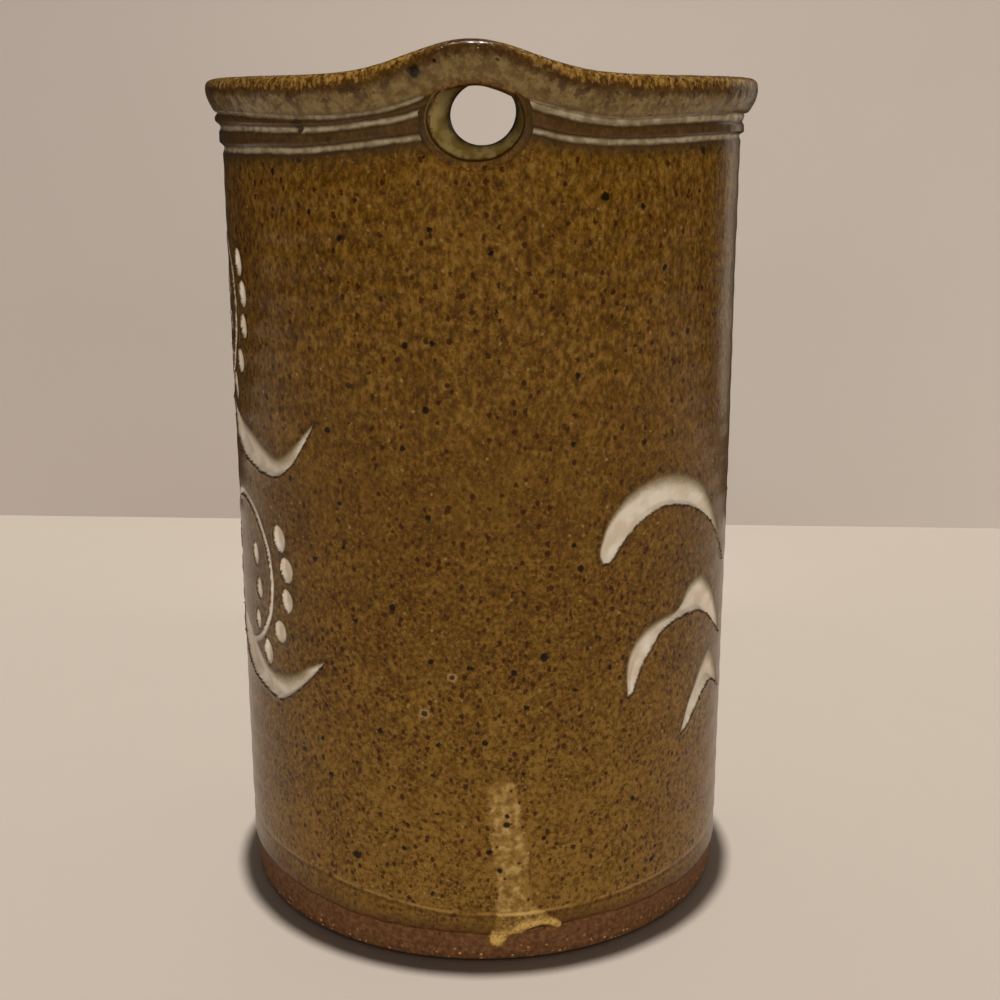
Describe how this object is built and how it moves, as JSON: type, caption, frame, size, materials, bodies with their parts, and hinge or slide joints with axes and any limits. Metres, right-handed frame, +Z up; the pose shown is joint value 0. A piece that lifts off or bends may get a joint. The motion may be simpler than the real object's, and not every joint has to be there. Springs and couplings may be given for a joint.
{
  "type": "hanging wall vase",
  "caption": "Cylindrical stoneware wall vase with a rolled rim raised over a hanging hole, banded neck, amber glaze and gouged white ornament.",
  "frame": {"origin": "centre of the flat foot face, on the surface the vase stands on", "axes": "+Z up along the vase's axis; -Y out of the back, which carries the hanging hole and faces the wall; +X to the right of someone who looks at the back"},
  "size_m": [0.1014, 0.1014, 0.1605],
  "materials": {
    "bare_stoneware": "bare fired clay, matt",
    "amber_glaze": "speckled amber brown glaze, glossy",
    "white_glaze": "warm white glaze, glossy",
    "ash_glaze": "pale yellow run, glossy"
  },
  "bodies": {
    "root": {"floor_slab": "bare_stoneware", "wall": "bare_stoneware", "wall_glaze": "amber_glaze", "liner_glaze": "amber_glaze", "lower_cordon": "amber_glaze", "upper_bead": "amber_glaze", "rim": "amber_glaze", "hanger_collar": "amber_glaze", "glaze_run": "ash_glaze", "cradle_upper": "white_glaze", "cradle_lower": "white_glaze", "cradle_front": "white_glaze", "leaf_upper": "white_glaze", "leaf_upper_front": "white_glaze", "leaf_middle": "white_glaze", "leaf_middle_front": "white_glaze", "leaf_lower": "white_glaze", "leaf_lower_front": "white_glaze", "ring_upper": "white_glaze", "ring_beads_upper": "white_glaze", "ring_seeds_upper": "white_glaze", "ring_lower": "white_glaze", "ring_beads_lower": "white_glaze", "ring_seeds_lower": "white_glaze", "ring_front": "white_glaze", "ring_beads_front": "white_glaze", "ring_seeds_front": "white_glaze"}
  },
  "joints": []
}
